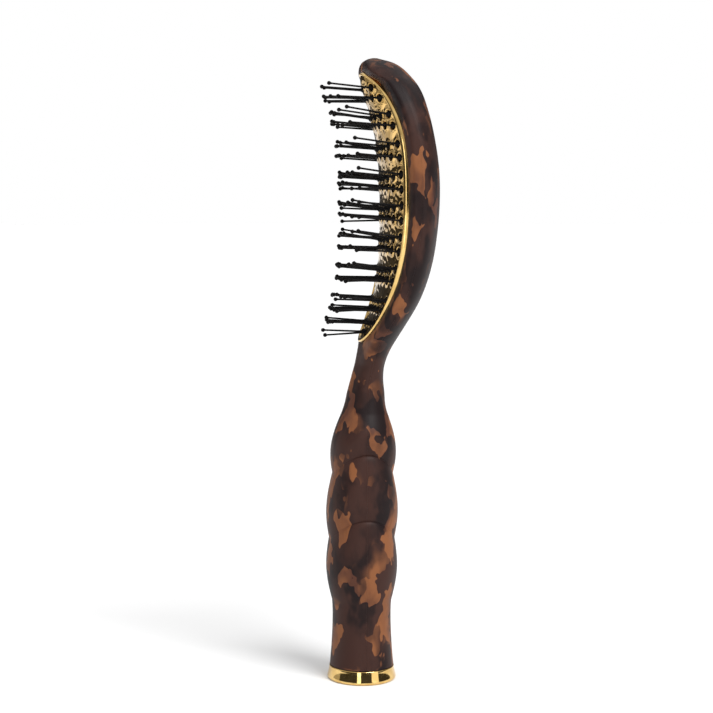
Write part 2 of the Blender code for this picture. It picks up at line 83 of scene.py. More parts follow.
BACK_OUTLINE = (
    (0.1042, 0.0099), (0.1060, 0.0094), (0.1085, 0.0090), (0.1120, 0.0088), (0.1175, 0.0083),
    (0.1230, 0.0088), (0.1290, 0.0110), (0.1369, 0.0154), (0.1492, 0.0220), (0.1616, 0.0260),
    (0.1739, 0.0280), (0.1863, 0.0289), (0.1980, 0.0286), (0.2100, 0.0269), (0.2200, 0.0247),
    (0.2280, 0.0220), (0.2344, 0.0174), (0.2381, 0.0126), (0.2400, 0.0064),
)
FRONT_OUTLINE = (
    (0.1042, -0.0077), (0.1075, -0.0066), (0.1120, -0.0056), (0.1168, -0.0043), (0.1231, -0.0025),
    (0.1290, -0.0006), (0.1330, 0.0006),
)
HOOD_OUTLINE = (
    (0.2290, 0.0058), (0.2310, 0.0040), (0.2330, 0.0012), (0.2348, 0.0003), (0.2366, 0.0001),
    (0.2382, 0.0004), (0.2394, 0.0014), (0.2400, 0.0034),
)
SIDE_OUTLINE = (
    (0.1165, 0.0088), (0.1185, 0.0088), (0.1240, 0.0100), (0.1290, 0.0132),
    (0.1350, 0.0192), (0.1430, 0.0250), (0.1550, 0.0292), (0.1700, 0.0310), (0.1850, 0.0314),
    (0.2000, 0.0308), (0.2120, 0.0290), (0.2220, 0.0258), (0.2300, 0.0212), (0.2355, 0.0155),
    (0.2387, 0.0094), (0.2400, 0.0040),
)
TOTAL_HEIGHT = 0.2400

# Face and bristle plate, as in the design, with a rolled rim, a lip round each hole and ripples.
SEAT_DEPTH = 0.0132
SEAT_MID_Z = 0.1880
SEAT_BOW_UP = 0.0125
SEAT_BOW_DOWN = 0.0094
SEAT_REACH = 0.0490
SEAT_POWER_UP = 2.86
SEAT_POWER_DOWN = 2.57
PLATE_MID_Z = 0.1833
PLATE_HALF_LENGTH = 0.0518
PLATE_HALF_WIDTH = 0.0270
PLATE_FULLNESS = 2.3
PLATE_THICKNESS = 0.0012
CREST_X = 0.0080
CREST_Z = 0.1795
CREST_BOW = 0.0092
CREST_REACH = 0.0523
CREST_POWER = 2.7
DOME_POWER = 2.2
DOME_END_POWER = 20
LEAST_RISE = 0.0010
RIM_WIDTH = 0.0015
RIM_HEIGHT = 0.0009
HOLE_RADIUS = 0.00155
LIP_WIDTH = 0.00080
LIP_HEIGHT = 0.00022
LIP_REACH = HOLE_RADIUS + 1.5 * LIP_WIDTH
RIPPLE_LENGTH = 0.0029
RIPPLE_HEIGHT = 0.00006
RIPPLE_BEND = 0.0006
RIPPLE_WAVES = ((1.00, 0.35, 0.4), (-0.55, 0.95, 2.1), (0.30, -1.15, 4.0))
RECESS_CLEARANCE = 0.0001
RECESS_FRONT = -0.0100
RECESS_BACK = 0.0076

# Bristles, placed as in the design, but thinner, with a collar, and each leaning its own way.
STRIPS = 9
STRIP_PITCH = 0.01165
MID_STRIP_Z = 0.1812
TOP_PULL = 0.0012
BOTTOM_PULL = 0.0026
ROW_SPREAD_MID = 0.0013
ROW_SPREAD_RIM = 0.0020
ROW_SPREAD_END = 0.0017
PIN_SPACING = 0.0060
EDGE_INSET = 0.0037
PIN_LENGTH = 0.0168
PIN_RADIUS = 0.00037
PIN_TAPER = 0.94
TIP_RADIUS = 0.00078
TIP_START = -58
TIP_NECK = 1.55 * TIP_RADIUS
TIP_END_RADIUS = 0.00002
COLLAR_RADIUS = 0.00110
# (distance out of the plate, radius) at a pin's root, from its collar to its shaft.
ROOT_PROFILE = (
    (0.0003, COLLAR_RADIUS), (0.0006, COLLAR_RADIUS * 0.8),
    (0.0009, PIN_RADIUS * 1.3), (0.0020, PIN_RADIUS),
)
PIN_WANDER = 0.070
SIDE_WANDER = 0.025
LENGTH_WANDER = (-0.0003, 0.0002)
ROW_TILT = 0.040
TILT_BOTTOM = 0.05
TILT_TOP = 0.085
STRIP_HALF_HEIGHT = 0.0042
STRIP_LEAST_REACH = 0.0012
STRIP_REACH_STEP = 0.0001
STRIP_THICKNESS = 0.0016
STRIP_ROUNDING = 0.0004
BAR_MARGIN = 0.0034
END_BAR_MARGIN = 0.0047
BAR_END_INSET = 0.0002
STRIP_DEPTH = 0.0030
ROOT_DEPTH = STRIP_DEPTH + 0.0004

# Base cap, as in the design, with rounded edges.
CAP_WALL = 0.0016
CAP_FLOOR_DEPTH = 0.0015
CAP_INNER_CHAMFER = 0.0002
CAP_TOP_ROUNDING = 0.0003
CAP_FOOT_ROUNDING = 0.0008
CAP_FLARE_POWER = 1.3
CAP_FLARE_LINES = 8
CAP_FLARE_DROP = CAP_HEIGHT - 0.0012
PAD_RADIUS = 0.0105
PAD_DEPTH = 0.0010
AXIS_RADIUS = 0.0001

# How fine the meshes are.
LINE_STEP = 0.0008
NECK_LINE = 0.1290
TOP_LINES_START = 0.2300
TOP_LINES = 26
STEP_LINES = (-0.0005, -0.00025, -0.0001, 0.0001, 0.00035)
SHELL_SEGMENTS = 72
HOLLOW_SEGMENTS = 40
HOLLOW_STRIDE = 4
RECESS_LINES = 150
PLATE_GRID = 0.00060
GRID_INSET = RIM_WIDTH + 0.0003
HOLE_CLEARANCE = 0.0003
RIM_CLEARANCE = 0.0002
OUTER_INSET = 0.00002
RIM_OVERLAP = 1.02
OVAL_POINTS = 220
RIM_LOOPS = 9
HOLE_SIDES = 20
LIP_LINES = (0.0, 0.5, 1.0, 1.5)
LIP_LINE_PITCH = 0.62
PIN_SIDES = 12
TIP_STEPS = 8
BAR_STATIONS = 33
CAP_SIDES = 128

# Colours.
BLACK_BROWN = (0.0115, 0.0060, 0.0062)
RED_BROWN = (0.044, 0.0185, 0.0140)
DEEP_AMBER = (0.088, 0.033, 0.020)
CLEAR_AMBER = (0.225, 0.084, 0.033)
GOLD_TONES = ((0.70, 0.46, 0.16), (0.80, 0.55, 0.21))
# The rippled tones are darker than the plain gold: their dark end is painted reflection of the dark
# pins and holes.
RIPPLED_GOLD_PAINTED_REFLECTION_TONES = ((0.40, 0.25, 0.08), (0.66, 0.43, 0.16))
NYLON_TONES = ((0.003, 0.0025, 0.0025), (0.007, 0.006, 0.006))
FLOOR_TONES = ((0.90, 0.90, 0.90), (0.92, 0.92, 0.92))

# Tortoiseshell: where the pattern starts, and its stretch along the brush.
PATCH_SHIFT = (0.052, 0.044, -0.061)
PATCH_SQUASH = (1.0, 1.0, 0.62)

# Studio. A panel is (name, place, width, height, watts).
WALL_GLOW = (0.07, 0.07, 0.07)
CEILING_GLOW = 0.82
WALL_TOP, CEILING_START = 0.25, 0.62
KEY_STRENGTH = 2.2
KEY_DIRECTION = (-0.46, 0.80, -1.05)
KEY_SPREAD = 28
PANELS = (
    ("right_panel", (0.60, -0.70, 0.30), 0.45, 0.80, 1.6),
    ("left_panel", (-0.80, 0.30, 0.30), 0.50, 0.80, 0.6),
    ("rim_panel", (-0.34, -0.88, 0.25), 0.22, 0.80, 1.5),
)
PANEL_TARGET = (0.0, 0.0, 0.13)
FLOOR_REACH = 30.0
FLOOR_Z = -0.00005


# ---------------------------------------------------------------- outlines


def seat_x(z):
    """The C curve of the head's front face."""
    reach = abs(z - SEAT_MID_Z) / SEAT_REACH
    if z > SEAT_MID_Z:
        return SEAT_DEPTH - SEAT_BOW_UP * reach**SEAT_POWER_UP
    return SEAT_DEPTH - SEAT_BOW_DOWN * reach**SEAT_POWER_DOWN


def crest_x(z):
    """The dome's highest line."""
    return CREST_X - CREST_BOW * (abs(z - CREST_Z) / CREST_REACH) ** CREST_POWER


def plate_half_width(z, inset=0.0):
    """Half the plate's width at a height, for its outline moved in by inset."""
    reach = min(abs(z - PLATE_MID_Z) / (PLATE_HALF_LENGTH - inset), 1.0)
    return (PLATE_HALF_WIDTH - inset) * math.sqrt(1.0 - reach**PLATE_FULLNESS)


def dome_x(y, z):
    """Outer face of the bristle plate, without its rolled rim."""
    half = plate_half_width(z)
    if half < 1e-6:
        return seat_x(z)
    across = min(abs(y) / half, 1.0)
    along = min(abs(z - PLATE_MID_Z) / PLATE_HALF_LENGTH, 1.0)
    rise = max(seat_x(z) - crest_x(z), LEAST_RISE)
    return seat_x(z) - rise * (1.0 - across**DOME_POWER) * math.sqrt(1.0 - along**DOME_END_POWER)


def through(points, z):
    """The smooth curve through (z, value) points, read at z."""
    i = 0
    while i < len(points) - 2 and z > points[i + 1][0]:
        i += 1
    (z0, a), (z1, b) = points[i], points[i + 1]

    def slope(j):
        first = points[max(j - 1, 0)]
        last = points[min(j + 1, len(points) - 1)]
        return (last[1] - first[1]) / (last[0] - first[0])

    span = z1 - z0
    t = min(max((z - z0) / span, 0.0), 1.0)
    start = a * (1 + 2 * t) * (1 - t) ** 2 + b * t * t * (3 - 2 * t)
    return start + span * (slope(i) * t * (1 - t) ** 2 - slope(i + 1) * t * t * (1 - t))


def handle_radius(z):
    """Half-thickness of the handle: a flared stem, then three lobes that meet in creases."""
    if z < STEM_WAIST[0]:
        t = (STEM_WAIST[0] - z) / (STEM_WAIST[0] - STEM_FOOT[0])
        return STEM_WAIST[1] + (STEM_FOOT[1] - STEM_WAIST[1]) * t**1.8
    if z < CREASES[0][0]:
        t = (z - STEM_WAIST[0]) / (CREASES[0][0] - STEM_WAIST[0])
        return STEM_WAIST[1] + (CREASES[0][1] - STEM_WAIST[1]) * t * t
    for low, crest, high in zip(CREASES, CRESTS, CREASES[1:]):
        if z <= crest[0]:
            t = (z - low[0]) / (crest[0] - low[0])
            return low[1] + (crest[1] - low[1]) * math.sin(math.pi / 2 * t)
        if z <= high[0]:
            t = (z - crest[0]) / (high[0] - crest[0])
            return high[1] + (crest[1] - high[1]) * math.cos(math.pi / 2 * t)
    return CREASES[-1][1]


def body_half_width(z):
    """Half the body's width: the handle narrows smoothly into the neck above its last crest."""
    crest, radius = CRESTS[-1]
    neck, neck_half = SIDE_OUTLINE[0]
    if z <= crest:
        return handle_radius(z) * WIDE
    if z < neck:
        fall = 0.5 + 0.5 * math.cos(math.pi * (z - crest) / (neck - crest))
        return neck_half + (radius * WIDE - neck_half) * fall
    return through(SIDE_OUTLINE, z)


def body_section(z):
    """(front x, back x, half-width, squareness of the front) of the body at a height."""
    if z <= CREASES[-1][0]:
        lean = max(z - CRESTS[0][0], 0.0) / (CREASES[-1][0] - CRESTS[0][0])
        shift = HANDLE_LEAN * lean * lean
        return shift - handle_radius(z), shift + handle_radius(z), body_half_width(z), ROUND
    if z < FRONT_OUTLINE[-1][0]:
        front = through(FRONT_OUTLINE, z)
    elif z < HOOD_OUTLINE[0][0]:
        front = seat_x(z)
    else:
        front = through(HOOD_OUTLINE, z)
    head = min(max((z - HEAD_START) / HEAD_BLEND, 0.0), 1.0)
    return front, through(BACK_OUTLINE, z), body_half_width(z), ROUND + MORE_SQUARE * head


def parting_x(z):
    """Where the front and back shells meet."""
    front, back, _, squareness = body_section(z)
    return front + (back - front) * (0.5 - PARTING_SHIFT * (squareness - ROUND) / MORE_SQUARE)


def crease_lift(z, across):
    """How far the mesh line at z rises on the handle's side, so that it follows a crease."""
    fade_in = min(max((z - RISE_START) / RISE_FADE_IN, 0.0), 1.0)
    fade_out = min(max((CREASES[-1][0] - z) / RISE_FADE_OUT, 0.0), 1.0)
    return CREASE_RISE * abs(across) ** RISE_POWER * fade_in * fade_out


def crease_step(z):
    """The step at each crease on the handle's sides: the lobe below stands out over the one above."""
    step = 0.0
    for crease in STEP_CREASES:
        below = crease - z
        if below > 0:
            rounding = 1 - math.exp(-below / STEP_ROUNDING)
            step += STEP_OUT * rounding * math.exp(-((below / STEP_OUT_REACH) ** 2))
        else:
            step -= STEP_IN * math.exp(below / STEP_IN_REACH)
    return step


def body_ring(z, half, segments, inset=0.0):
    """Points round the body at z: the front half, the back half, or with half None all of it."""
    front, back, width, squareness = body_section(z)
    middle = parting_x(z)
    start, end = {"front": (-1, 1), "back": (1, 3), None: (-1, 3)}[half]
    points = []
    count = segments if half is None else segments + 1
    for i in range(count):
        angle = math.pi / 2 * (start + (end - start) * i / segments)
        across, along = math.sin(angle), math.cos(angle)
        power = squareness if along > 0 else BACK_POWER
        step = 0.0 if inset else crease_step(z) * across**2
        y = (width - inset + step) * math.copysign(abs(across) ** (2 / power), across)
        if along > 0:
            depth = middle - front
            if inset:
                depth -= FACE_EXTRA * (squareness - ROUND) / MORE_SQUARE
        else:
            depth = back - middle
        x = -math.copysign(max(depth - inset, LEAST_DEPTH) * abs(along) ** (2 / power), along)
        points.append(Vector((middle + x, y, z + crease_lift(z, across))))
    return points


# ---------------------------------------------------------------- mesh helpers


def mesh_object(name, bm, sharp=35):
    """A smooth-shaded object made from bm. Edges sharper than sharp, in degrees, stay crisp."""
    bmesh.ops.remove_doubles(bm, verts=bm.verts, dist=1e-7)
    bmesh.ops.recalc_face_normals(bm, faces=bm.faces)
    mesh = bpy.data.meshes.new(name)
    bm.to_mesh(mesh)
    bm.free()
    mesh.shade_smooth()
    if sharp:
        mesh.set_sharp_from_angle(angle=math.radians(sharp))
    obj = bpy.data.objects.new(name, mesh)
    bpy.context.scene.collection.objects.link(obj)
    return obj


def add_skin(bm, rings):
    """Adds a skin through rings of equal point counts, closed at both ends."""
    rows = [[bm.verts.new(point) for point in ring] for ring in rings]
    count = len(rows[0])
    for low, high in zip(rows, rows[1:]):
        for i in range(count):
            j = (i + 1) % count
            bm.faces.new((low[i], low[j], high[j], high[i]))
    bm.faces.new(rows[0])
    bm.faces.new(rows[-1])


def loft(name, rings, sharp=35):
    """A closed object through rings of equal point counts."""
    bm = bmesh.new()
    add_skin(bm, rings)
    return mesh_object(name, bm, sharp)


def cut(obj, cutters):
    """Boolean difference with each cutter, applied."""
    for cutter in cutters:
        modifier = obj.modifiers.new("cut", "BOOLEAN")
        modifier.operation = "DIFFERENCE"
        modifier.solver = "EXACT"
        modifier.object = cutter
    apply_modifiers(obj)


def apply_modifiers(obj):
    bpy.context.view_layer.update()
    graph = bpy.context.evaluated_depsgraph_get()
    mesh = bpy.data.meshes.new_from_object(obj.evaluated_get(graph))
    obj.modifiers.clear()
    obj.data = mesh


def finish_piece(obj, body, material, node):
    """Gives a piece its material and its body, and hides the CAD node that it replaces."""
    obj.data.materials.clear()
    obj.data.materials.append(material)
    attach(obj, body)
    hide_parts(node)


# ---------------------------------------------------------------- materials


class Nodes:
    """A short way to write a node material."""

    def __init__(self, name):
        self.material = bpy.data.materials.new(name)
        self.material.use_nodes = True
        self.tree = self.material.node_tree
        self.shader = self.tree.nodes["Principled BSDF"]

    def add(self, kind, settings=None, **inputs):
        node = self.tree.nodes.new(kind)
        for key, value in (settings or {}).items():
            setattr(node, key, value)
        for key, value in inputs.items():
            self.put(node, key.replace("_", " "), value)
        return node

    def put(self, node, key, value):
        socket = node.inputs[int(key)] if key.isdigit() else node.inputs[key]
        if isinstance(value, bpy.types.NodeSocket):
            self.tree.links.new(value, socket)
        else:
            socket.default_value = value

    def math(self, operation, first, second):
        node = self.add("ShaderNodeMath", {"operation": operation})
        self.put(node, "0", first)
        self.put(node, "1", second)
        return node.outputs[0]

    def ramp(self, factor, stops):
        node = self.add("ShaderNodeValToRGB", Fac=factor)
        band = node.color_ramp
        band.interpolation = "EASE"
        while len(band.elements) < len(stops):
            band.elements.new(0.5)
        for element, (position, color) in zip(band.elements, stops):
            element.position = position
            element.color = (*color, 1.0)
        return node.outputs["Color"]

    def mix(self, factor, first, second):
        node = self.add("ShaderNodeMix", {"data_type": "RGBA"})
        self.put(node, "0", factor)
        self.put(node, "6", first)
        self.put(node, "7", second)
        return node.outputs[2]

    def bump(self, height, strength, distance):
        node = self.add("ShaderNodeBump", Height=height, Strength=strength, Distance=distance)
        self.tree.links.new(node.outputs["Normal"], self.shader.inputs["Normal"])

    def set(self, **inputs):
        for key, value in inputs.items():
            self.put(self.shader, key.replace("_", " "), value)


def warped(n, place, scale, amount):
    """A place that noise shifts to and fro, so that a pattern drawn there gets ragged edges."""
    wobble = n.add("ShaderNodeTexNoise", Vector=place, Scale=scale, Detail=2.0, Roughness=0.6)
    centred = n.add("ShaderNodeVectorMath", {"operation": "SUBTRACT"})
    n.put(centred, "0", wobble.outputs["Color"])
    n.put(centred, "1", (0.5, 0.5, 0.5))
    scaled = n.add("ShaderNodeVectorMath", {"operation": "SCALE"}, Scale=amount)
    n.put(scaled, "0", centred.outputs[0])
    moved = n.add("ShaderNodeVectorMath", {"operation": "ADD"})
    n.put(moved, "0", place)
    n.put(moved, "1", scaled.outputs[0])
    return moved.outputs[0]


def tortoiseshell_material():
    """Angular patches in three tones that melt into each other, under a satin surface."""
    n = Nodes("tortoiseshell_plastic")
    place = n.add("ShaderNodeTexCoord").outputs["Object"]
    mapping = n.add("ShaderNodeMapping", Vector=place, Location=PATCH_SHIFT, Scale=PATCH_SQUASH)
    squashed = mapping.outputs[0]
    ragged = warped(n, squashed, 150.0, 0.012)
    cells = n.add(
        "ShaderNodeTexVoronoi", {"feature": "SMOOTH_F1"}, Vector=ragged, Scale=165.0,
        Smoothness=0.12,
    )
    tone = n.add("ShaderNodeSeparateColor", Color=cells.outputs["Color"]).outputs[0]
    cloud = n.add("ShaderNodeTexNoise", Vector=squashed, Scale=85.0, Detail=1.0).outputs["Fac"]
    patch = n.math("ADD", tone, n.math("MULTIPLY", n.math("SUBTRACT", cloud, 0.5), 0.8))
    depth = n.add("ShaderNodeTexNoise", Vector=ragged, Scale=70.0, Detail=2.0).outputs["Fac"]
    dark = n.ramp(depth, ((0.40, BLACK_BROWN), (0.64, RED_BROWN)))
    amber = n.ramp(depth, ((0.38, DEEP_AMBER), (0.60, CLEAR_AMBER)))
    share = n.ramp(patch, ((0.22, (1.0,) * 3), (0.28, (0.40,) * 3), (0.38, (0.0,) * 3)))
    n.set(Base_Color=n.mix(share, dark, amber), Roughness=0.48, Specular_IOR_Level=0.14)
    grain = n.add("ShaderNodeTexNoise", Vector=place, Scale=5200.0, Detail=2.0).outputs["Fac"]
    n.bump(grain, 0.05, 0.0001)
    return n.material


def gold_material(name, roughness, ripples, tones):
    """Polished plating. Its colour runs from a dark to a light tone with the ripple noise, darker in
    the ripples' hollows: painted reflection of the dark pins, and painted shade. Ripples is the depth
    of its fine unevenness.
    """
    n = Nodes(name)
    place = n.add("ShaderNodeTexCoord").outputs["Object"]
    ripple_noise = n.add("ShaderNodeTexNoise", Vector=place, Scale=330.0, Detail=0.6)
    waves = ripple_noise.outputs["Fac"]
    fine = n.add("ShaderNodeTexNoise", Vector=place, Scale=900.0, Detail=4.0).outputs["Fac"]
    rough = n.math("ADD", n.math("MULTIPLY", fine, 0.05), roughness - 0.02)
    # Painted reflection and shade: the colour darkens where the ripples dip, as if they mirrored the
    # dark pins.
    dark, light = tones
    n.set(Base_Color=n.ramp(waves, ((0.40, dark), (0.58, light))), Roughness=rough, Metallic=1.0)
    n.bump(waves, 1.0, ripples)
    return n.material


def nylon_material():
    n = Nodes("black_nylon")
    place = n.add("ShaderNodeTexCoord").outputs["Object"]
    cloud = n.add("ShaderNodeTexNoise", Vector=place, Scale=400.0, Detail=2.0).outputs["Fac"]
    dark, light = NYLON_TONES
    color = n.ramp(cloud, ((0.3, dark), (0.7, light)))
    n.set(Base_Color=color, Roughness=0.32, Specular_IOR_Level=0.06)
    return n.material


def grey_material(name, light, dark, roughness, metallic, scale):
    """Fine grain of the given scale, between a light and a dark grey."""
    n = Nodes(name)
    place = n.add("ShaderNodeTexCoord").outputs["Object"]
    grain = n.add("ShaderNodeTexNoise", Vector=place, Scale=scale, Detail=3.0).outputs["Fac"]
    color = n.ramp(grain, ((0.3, (dark,) * 3), (0.7, (light,) * 3)))
    n.set(Base_Color=color, Metallic=metallic)
    n.set(Roughness=n.math("ADD", n.math("MULTIPLY", grain, 0.2), roughness - 0.1))
    n.bump(grain, 0.15, 0.0001)
    return n.material


# ---------------------------------------------------------------- body shells


def ring_heights():
    """Heights of the shells' mesh lines: one on every crease and crest, closer at steps and top."""
    marks = [CAP_HEIGHT + SHELL_GAP, STEM_WAIST[0], NECK_LINE, TOP_LINES_START]
    marks = sorted(marks + [z for z, _ in CREASES] + [z for z, _ in CRESTS])
    heights = []
    for low, high in zip(marks, marks[1:]):
        count = max(round((high - low) / LINE_STEP), 1)
        heights += [low + (high - low) * i / count for i in range(count)]
    for crease in STEP_CREASES:
        heights += [crease + offset for offset in STEP_LINES]
    heights.sort()
    for i in range(TOP_LINES + 1):
        rise = math.sin(math.pi / 2 * i / TOP_LINES)
        heights.append(TOP_LINES_START + (TOTAL_HEIGHT - TOP_LINES_START) * rise)
    return heights


def recess_cutter():
    """A prism of the plate's outline, from in front of the seat curve to behind it."""
    rings = []
    for i in range(RECESS_LINES + 1):
        rise = -math.cos(math.pi * (i + 0.1) / (RECESS_LINES + 0.2))
        z = PLATE_MID_Z + (PLATE_HALF_LENGTH + RECESS_CLEARANCE) * rise
        y = plate_half_width(z, -RECESS_CLEARANCE)
        front, back = seat_x(z) + RECESS_FRONT, seat_x(z) + RECESS_BACK
        corners = ((front, -y, z), (back, -y, z), (back, y, z), (front, y, z))
        rings.append([Vector(corner) for corner in corners])
    return loft("recess", rings)


def hollow_cutter(heights):
    """The body's hollow, open at the foot."""
    levels = [z for z in heights if HOLLOW_BOTTOM < z < HOLLOW_TOP][::HOLLOW_STRIDE]
    rings = [body_ring(z, None, HOLLOW_SEGMENTS, WALL) for z in levels]
    foot = [Vector((point.x, point.y, CAP_HEIGHT - HOLLOW_FOOT_DEPTH)) for point in rings[0]]
    return loft("hollow", [foot] + rings)


def make_shells(material):
    heights = ring_heights()
    cutters = [hollow_cutter(heights), recess_cutter()]
    for name, half, side in (("front_shell", "front", -1), ("back_shell", "back", 1)):
        rings = []
        for z in heights:
            ring = body_ring(z, half, SHELL_SEGMENTS)
            rings.append([point + Vector((side * SEAM / 2, 0, 0)) for point in ring])
        shell = loft(name + "_skin", rings)
        cut(shell, cutters)
        finish_piece(shell, "body", material, name)
    for cutter in cutters:
        bpy.data.objects.remove(cutter)


# ---------------------------------------------------------------- bristle places


def strip_middle(strip):
    """Height of a strip's middle. Strip 0 is the top one."""
    middle = MID_STRIP_Z + (STRIPS // 2 - strip) * STRIP_PITCH
    if strip == 0:
        return middle - TOP_PULL
    if strip == STRIPS - 1:
        return middle + BOTTOM_PULL
    return middle


def row_height(strip, member, y):
    """Height on the plate of a strip's upper (1) or lower (-1) row, at a distance y across."""
    spread = ROW_SPREAD_END if strip in (0, STRIPS - 1) else ROW_SPREAD_MID
    reach = (y / PLATE_HALF_WIDTH) ** 2
    return strip_middle(strip) + member * (spread + ROW_SPREAD_RIM * reach)


def pin_places(strip, member):
    """(y, z) of each pin of a row, spread evenly between the rims."""
    # The edge and the row's height there depend on each other, so they are found in turns.
    edge = 0.018
    for _ in range(5):
        edge = plate_half_width(row_height(strip, member, edge), inset=EDGE_INSET)
    count = max(round(2 * edge / PIN_SPACING) + 1, 2)
    # An upper row has an odd count and a lower row an even one, which staggers their pins.
    if (count + (member > 0)) % 2:
        count += 1 if 2 * edge / PIN_SPACING + 1 > count else -1
    count = max(count, 2)
    places = [edge * (2 * i / (count - 1) - 1) for i in range(count)]
    return [(y, row_height(strip, member, y)) for y in places]


def strip_slope(strip, member):
    """Upward slope of a row's pins."""
    mean = TILT_TOP + (TILT_BOTTOM - TILT_TOP) * strip / (STRIPS - 1)
    return mean + member * ROW_TILT


HOLES = [
    place for strip in range(STRIPS) for member in (1, -1) for place in pin_places(strip, member)
]


# ---------------------------------------------------------------- bristle plate


def edge_distance(y, z):
    """Roughly how far a point of the plate is inside its outline."""
    dz = abs(z - PLATE_MID_Z) / PLATE_HALF_LENGTH
    dy = abs(y) / PLATE_HALF_WIDTH
    reach = (dy**2 + dz**PLATE_FULLNESS) ** 0.5
    slope_y = dy / PLATE_HALF_WIDTH
    slope_z = 0.5 * PLATE_FULLNESS * dz ** (PLATE_FULLNESS - 1) / PLATE_HALF_LENGTH
    steepness = math.hypot(slope_y, slope_z) / max(reach, 1e-6)
    return (1.0 - reach) / max(steepness, 1e-6)


def ripple(y, z):
    """The plate's hammered unevenness, between -1 and 1: waves in three directions."""
    turn = 2 * math.pi / RIPPLE_LENGTH
    bent = z + RIPPLE_BEND * math.sin(turn * 0.4 * y)
    waves = [math.sin(turn * (a * y + b * bent) + start) for a, b, start in RIPPLE_WAVES]
    return sum(waves) / len(waves)


def plate_x(y, z):
    """Outer face of the plate: hammered, with a rolled rim and a raised lip round each hole."""
    x = dome_x(y, z)
    inside = edge_distance(y, z)
    calm = min(max((inside - RIM_WIDTH) / RIM_WIDTH, 0.0), 1.0)
    x -= RIPPLE_HEIGHT * calm * ripple(y, z)
    if inside < RIM_WIDTH:
        across = 1.0 - 2.0 * inside / RIM_WIDTH
        x -= RIM_HEIGHT * math.sqrt(max(1.0 - min(abs(across), 1.0) ** 2, 0.0))
    for hole_y, hole_z in HOLES:
        if abs(y - hole_y) < LIP_REACH and abs(z - hole_z) < LIP_REACH:
            out = (math.hypot(y - hole_y, z - hole_z) - HOLE_RADIUS) / LIP_WIDTH
            if -0.5 < out < 1.5:
                x -= LIP_HEIGHT * math.cos(math.pi * (out - 0.5) / 2) ** 2
    return x


def oval(count, inset):
    """(y, z) points round the plate's outline, moved in by inset."""
    points = []
    for i in range(count):
        angle = 2 * math.pi * (i + 0.5) / count
        s = math.sin(angle)
        half_length = PLATE_HALF_LENGTH - inset
        z = PLATE_MID_Z + half_length * math.copysign(abs(s) ** (2 / PLATE_FULLNESS), s)
        points.append((math.copysign(plate_half_width(z, inset), math.cos(angle)), z))
    return points


def circle(y, z, radius):
    angles = [2 * math.pi * (i + 0.5) / HOLE_SIDES for i in range(HOLE_SIDES)]
    return [(y + radius * math.cos(a), z + radius * math.sin(a)) for a in angles]


def off_holes(y, z, distance):
    """Whether a point is further than distance from the middle of every hole."""
    return all(
        abs(y - hole_y) > distance or math.hypot(y - hole_y, z - hole_z) > distance
        for hole_y, hole_z in HOLES
    )


def grid_points():
    """(y, z) points between the rim and the holes."""
    points = []
    for i in range(int(2 * PLATE_HALF_LENGTH / PLATE_GRID)):
        z = PLATE_MID_Z - PLATE_HALF_LENGTH + (i + 0.5) * PLATE_GRID
        half = plate_half_width(z, GRID_INSET)
        columns = int(2 * half / PLATE_GRID)
        for j in range(columns + 1):
            y = half * (2 * j / max(columns, 1) - 1)
            if edge_distance(y, z) < RIM_WIDTH + RIM_CLEARANCE:
                continue
            if off_holes(y, z, HOLE_RADIUS + LIP_WIDTH + HOLE_CLEARANCE):
                points.append((y, z))
    return points


def make_plate(material, rim_material):
    """Triangulated flat, with a round hole for each pin, then lifted to its shape and thickened.

    The rolled rim keeps the plain gold; the rest of the plate has the darker rippled gold, whose dark
    tone is painted reflection of the pins and holes.
    """
    loops = []
    for i in range(RIM_LOOPS):
        inset = OUTER_INSET + RIM_WIDTH * i / (RIM_LOOPS - 1) * RIM_OVERLAP
        loops.append(oval(OVAL_POINTS, inset))
    for y, z in HOLES:
        for line in LIP_LINES:
            loops.append(circle(y, z, HOLE_RADIUS + LIP_WIDTH * line * LIP_LINE_PITCH))
    flat, edges = [], []
    for loop in loops:
        first = len(flat)
        flat += [Vector(point) for point in loop]
        edges += [(first + i, first + (i + 1) % len(loop)) for i in range(len(loop))]
    flat += [Vector(point) for point in grid_points()]
    verts, _, faces, _, _, _ = geometry.delaunay_2d_cdt(flat, edges, [], 1, 1e-8)
    bm = bmesh.new()
    made = [bm.verts.new((plate_x(v.x, v.y), v.x, v.y)) for v in verts]
    for face in faces:
        y = sum(verts[i].x for i in face) / 3
        z = sum(verts[i].y for i in face) / 3
        # A triangle inside a hole's polygon has its middle well within the hole.
        if off_holes(y, z, HOLE_RADIUS * 0.97):
            bm.faces.new([made[i] for i in face])
    grown = bmesh.ops.extrude_face_region(bm, geom=bm.faces[:])
    back = [item for item in grown["geom"] if isinstance(item, bmesh.types.BMVert)]
    bmesh.ops.translate(bm, verts=back, vec=(PLATE_THICKNESS, 0, 0))
    plate = mesh_object("bristle_plate_skin", bm, 50)
    finish_piece(plate, "body", material, "bristle_plate")
    plate.data.materials.append(rim_material)
    # Rim faces get the plain gold (index 1); the rest keep the darker gold with its painted
    # reflection.
    for face in plate.data.polygons:
        face.material_index = edge_distance(face.center.y, face.center.z) < RIM_WIDTH


# ---------------------------------------------------------------- bristles


def pin_profile(length):
    """(distance along, radius) of a pin: collar, tapered shaft and ball tip."""
    points = [(0.0, COLLAR_RADIUS)]
    points += [(ROOT_DEPTH + out, radius) for out, radius in ROOT_PROFILE]
    centre = length - TIP_RADIUS
    points.append((centre - TIP_NECK, PIN_RADIUS * PIN_TAPER))
    for i in range(TIP_STEPS + 1):
        angle = math.radians(TIP_START + (90 - TIP_START) * i / TIP_STEPS)
        radius = max(TIP_RADIUS * math.cos(angle), TIP_END_RADIUS)
        points.append((centre + TIP_RADIUS * math.sin(angle), radius))
    return points


